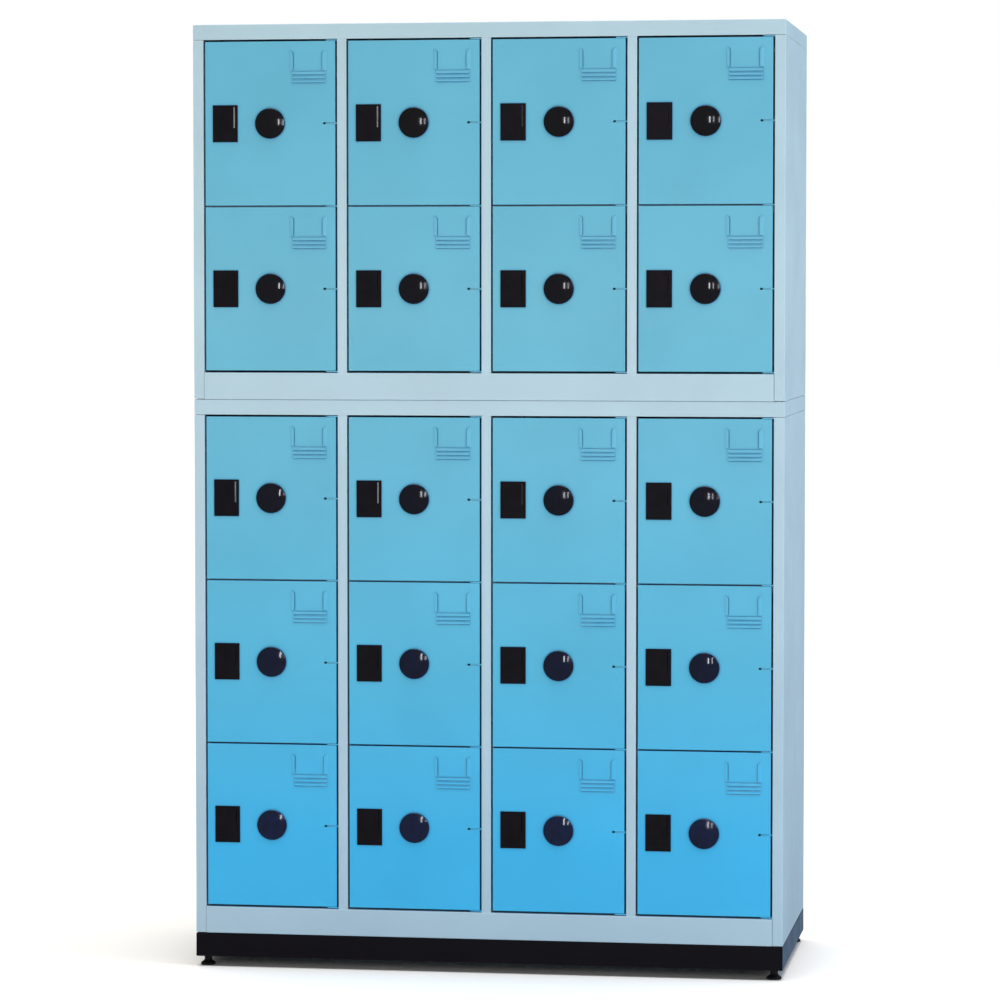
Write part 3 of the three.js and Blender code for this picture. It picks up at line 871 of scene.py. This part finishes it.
def build_base(cabinet):
    """The bottom rail, and the floor of the lowest row."""
    base, floor, _, _ = levels(cabinet)
    start, rail_top = base + CABINET_SEAM, floor - RAIL_STEP
    points = [(FRONT + RAIL_LIP, start), (FRONT, start), (FRONT, rail_top),
              (BEHIND_POSTS + SHEET, rail_top)]
    rail_half = HALF - STILE - FIT
    rail = folded(points, (-rail_half, rail_half), "x")
    casing(f"{cabinet}_bottom_rail", rail, [f"{cabinet}_base_and_posts"])
    tray_low = (-INNER, BEHIND_POSTS + 2 * SHEET, base + FIT)
    casing(f"{cabinet}_floor", tray(tray_low, (INNER, INNER_BACK, floor), (0, 0, -1)))


def build_walls(cabinet):
    """The two side panels, each folded round into its stile and its back flange, and the back."""
    base, _, rim, _ = levels(cabinet)
    sheet_top = rim - PANEL_SEAM
    flange_back = BACK - SHEET - FIT
    for side, label in ((-1, "left"), (1, "right")):
        x_outer, x_stile = side * HALF, side * (HALF - STILE)
        points = [(x_stile, FRONT + POST_DEPTH), (x_stile, FRONT), (x_outer, FRONT),
                  (x_outer, flange_back), (side * (HALF - BACK_FLANGE), flange_back)]
        if side < 0:
            points = list(reversed(points))
        panel = folded(points, (base + CABINET_SEAM, sheet_top))
        casing(f"{cabinet}_panel_{label}", panel, [f"{cabinet}_side_{label}"])
    back = rounded_box((-INNER, BACK - SHEET, base + FIT), (INNER, BACK, sheet_top), BACK_EDGE)
    casing(f"{cabinet}_back", back, [f"{cabinet}_back_panel"])


def build_posts(cabinet):
    """The folded posts between the columns, and the partitions behind them."""
    _, floor, rim, top = levels(cabinet)
    post_heights = (floor - RAIL_STEP + FIT, rim - FIT)
    for column in COLUMNS[1:]:
        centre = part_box(f"door_{ROWS[cabinet][0]}{column}")[0].x - SIDE_GAP - POST / 2
        left, right = centre - POST / 2, centre + POST / 2
        points = [(left, FRONT + POST_DEPTH), (left, FRONT),
                  (right, FRONT), (right, FRONT + POST_DEPTH)]
        casing(f"{cabinet}_post_{column - 1}", folded(points, post_heights))
        wall = rounded_box((centre - SHEET / 2, BEHIND_POSTS, floor + FIT),
                           (centre + SHEET / 2, INNER_BACK - FIT, top - SHEET - FIT), SOFT_EDGE)
        casing(f"{cabinet}_partition_{column - 1}", wall)


def build_shelves(cabinet):
    """A shelf under each row but the lowest. The first stands for the CAD's whole grid of cells."""
    letters = ROWS[cabinet]
    for letter in letters[:-1]:
        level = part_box(f"door_{letter}1")[0].z - SHELF_DROP
        points = [(BEHIND_POSTS, level - SHELF_LIP), (BEHIND_POSTS, level),
                  (INNER_BACK - FIT, level)]
        instead = [f"{cabinet}_cell_grid"] if letter == letters[0] else []
        casing(f"{cabinet}_shelf_{letter}", folded(points, (-INNER, INNER), "x"), instead)


def build_hinges(cabinet, column):
    """The rod that a column's doors turn on, and the tabs that carry it."""
    boxes = [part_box(f"door_{letter}{column}") for letter in ROWS[cabinet]]
    (_, highest), (lowest, _) = boxes[0], boxes[-1]
    edge = highest.x
    rod = turned(rod_profile(ROD_RADIUS, lowest.z - ROD_END, highest.z + ROD_END, ROD_CHAMFER), 20)
    move(rod, (edge - PIVOT_INSET, FRONT + PIVOT_INSET, 0))
    piece(f"{cabinet}_hinge_rod_{column}", rod, ZINC, "casing")

    def tab(height, thickness):
        return rounded_box((edge - TAB_LENGTH, FRONT + FIT, height - thickness / 2),
                           (edge + SIDE_GAP, FRONT + TAB_DEPTH, height + thickness / 2), TAB_EDGE)

    gaps = [low.z - ROW_GAP / 2 for low, _ in boxes] + [highest.z + ROW_GAP / 2]
    between = joined(*[tab(height, TAB_THICKNESS) for height in gaps])
    piece(f"{cabinet}_hinge_tabs_{column}", between, DOOR_PAINT, "casing")
    middles = joined(*[tab((low.z + high.z) / 2, MIDDLE_TAB_THICKNESS) for low, high in boxes])
    piece(f"{cabinet}_middle_tabs_{column}", middles, DOOR_PAINT, "casing")


def build_cabinet(cabinet):
    build_cap(cabinet)
    build_base(cabinet)
    build_walls(cabinet)
    build_posts(cabinet)
    build_shelves(cabinet)
    for column in COLUMNS:
        build_hinges(cabinet, column)


# ---------------------------------------------------------------- plinth and feet


def build_plinth():
    """A ring of channel: one folded outline that runs round a rectangle."""
    low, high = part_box("plinth_frame")
    points = [(PLINTH_FLANGE, high.z), (0, high.z), (0, low.z), (PLINTH_FLANGE, low.z)]
    outer, inner = fold_lines(points, PLINTH_SHEET, PLINTH_BEND)
    bm = bmesh.new()
    rings = []
    for inset, z in outer + inner[::-1]:
        left, right = low.x + inset, high.x - inset
        front, back = low.y + inset, high.y - inset
        corners = ((left, front), (right, front), (right, back), (left, back))
        rings.append([bm.verts.new((x, y, z)) for x, y in corners])
    for ring, after in zip(rings, rings[1:] + rings[:1]):
        for i in range(4):
            bm.faces.new((ring[i], ring[(i + 1) % 4], after[(i + 1) % 4], after[i]))
    bmesh.ops.recalc_face_normals(bm, faces=bm.faces)
    piece("plinth_channel", bm, PLINTH_PAINT, "casing", instead_of=["plinth_frame"])


def foot_nut():
    radius, inner = FOOT_NUT_RADIUS, FOOT_NUT_RADIUS - NUT_CHAMFER
    low, high = FOOT_NUT_BOTTOM, FOOT_NUT_TOP
    return turned([(0, low), (inner, low), (radius, low + 0.6 * MM), (radius, high - NUT_CHAMFER),
                   (inner, high), (0, high)], 6)


def build_feet():
    """A pad, a nut and a threaded stud at each corner, all black."""
    meshes = {
        "pad": finished("foot_pad", turned(PAD_PROFILE, 40)),
        "nut": finished("foot_nut", foot_nut()),
        "stud": finished("foot_stud", turned(threaded_profile(), 24), 60),
    }
    for foot in ("foot_front_left", "foot_front_right", "foot_back_left", "foot_back_right"):
        low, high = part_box(foot)
        at = ((low.x + high.x) / 2, (low.y + high.y) / 2, 0)
        for name, mesh in meshes.items():
            instead = [foot] if name == "pad" else []
            piece(f"{name}_{foot}", mesh, FOOT_BLACK, foot, at, instead)


# ---------------------------------------------------------------- stage, light and camera

FLOOR_SIZE = 120.0
FLOOR_COLOUR = (0.95, 0.91, 0.86, 1)
CAMERA_PLACE = (1.252, -8.116, 1.356)
CAMERA_TURN = 8.85  # degrees to the left of straight at the doors
CAMERA_TILT = 2.97  # degrees down
CAMERA_LENS = 145.2  # mm
CAMERA_SENSOR = 36  # mm
STRIPS = ((1.1, 40), (2.4, 19), (4.2, 13))  # x and watts of the upright lights at the front
SURROUND_LIGHT = 0.2  # how much of the white that the camera sees lights the locker


def build_floor():
    half = FLOOR_SIZE / 2
    bm = bmesh.new()
    corners = ((-half, -half), (half, -half), (half, half), (-half, half))
    bm.faces.new([bm.verts.new((x, y, 0)) for x, y in corners])
    mesh = bpy.data.meshes.new("floor")
    bm.to_mesh(mesh)
    bm.free()
    floor = bpy.data.objects.new("floor", mesh)
    material, tree, shader = new_material("floor paper", 0.9, specular=0.1)
    tone = remap(tree, noise(tree, 1.5, 2), (0.3, 0.7), (0.98, 1.0))
    toned = mixed(tree, 1.0, FLOOR_COLOUR, tone, "MULTIPLY")
    tree.links.new(toned, shader.inputs["Base Color"])
    mesh.materials.append(material)
    floor.visible_glossy = False
    bpy.context.scene.collection.objects.link(floor)


def area_light(name, place, size, power, colour=(1, 1, 1), in_reflections=True):
    """A rectangular soft light that faces the middle of the locker. size is (width, height)."""
    light = bpy.data.lights.new(name, "AREA")
    light.shape = "RECTANGLE"
    light.size, light.size_y = size
    light.energy = power
    light.color = colour
    lamp = bpy.data.objects.new(name, light)
    lamp.location = place
    towards = Vector((0, 0, CAP_HIGH.z / 2)) - Vector(place)
    lamp.rotation_euler = towards.to_track_quat("-Z", "Y").to_euler()
    lamp.visible_glossy = in_reflections
    bpy.context.scene.collection.objects.link(lamp)


def build_lights():
    """Three upright strips at the front, a soft fill, one light at the right, one overhead and an
    even white surround."""
    for number, (x, power) in enumerate(STRIPS, 1):
        area_light(f"strip {number}", (x, -7.9, 2.4), (0.3, 1.9), power, (0.96, 0.98, 1.06))
    area_light("front fill", (-2.4, -7.0, 2.0), (3.0, 3.0), 66, in_reflections=False)
    area_light("side", (4.4, -1.2, 3.2), (2.2, 2.2), 77, (0.82, 1.03, 1.36))
    sun = bpy.data.lights.new("overhead", "SUN")
    sun.energy = 3.3
    sun.angle = math.radians(50)
    lamp = bpy.data.objects.new("overhead", sun)
    bpy.context.scene.collection.objects.link(lamp)
    world = bpy.data.worlds.new("surround")
    bpy.context.scene.world = world
    world.use_nodes = True
    tree = world.node_tree
    tree.nodes.clear()
    seen = node(tree, "Background", {"Color": (1, 1, 1, 1), "Strength": 1.0})
    lit = node(tree, "Background", {"Color": (1, 1, 1, 1), "Strength": SURROUND_LIGHT})
    ray = node(tree, "LightPath").outputs["Is Camera Ray"]
    mix = node(tree, "MixShader", {0: ray, 1: lit.outputs[0], 2: seen.outputs[0]})
    node(tree, "OutputWorld", {"Surface": mix.outputs[0]})


def build_camera():
    camera = bpy.data.cameras.new("camera")
    camera.lens = CAMERA_LENS
    camera.sensor_width = CAMERA_SENSOR
    camera.clip_end = 2 * FLOOR_SIZE
    seat = bpy.data.objects.new("camera", camera)
    seat.location = CAMERA_PLACE
    seat.rotation_euler = (math.radians(90 - CAMERA_TILT), 0, math.radians(CAMERA_TURN))
    bpy.context.scene.collection.objects.link(seat)
    bpy.context.scene.camera = seat


build_camera()
build_doors()
for cabinet_name in ROWS:
    build_cabinet(cabinet_name)
build_plinth()
build_feet()
build_floor()
build_lights()
bpy.context.scene.view_settings.view_transform = "Standard"
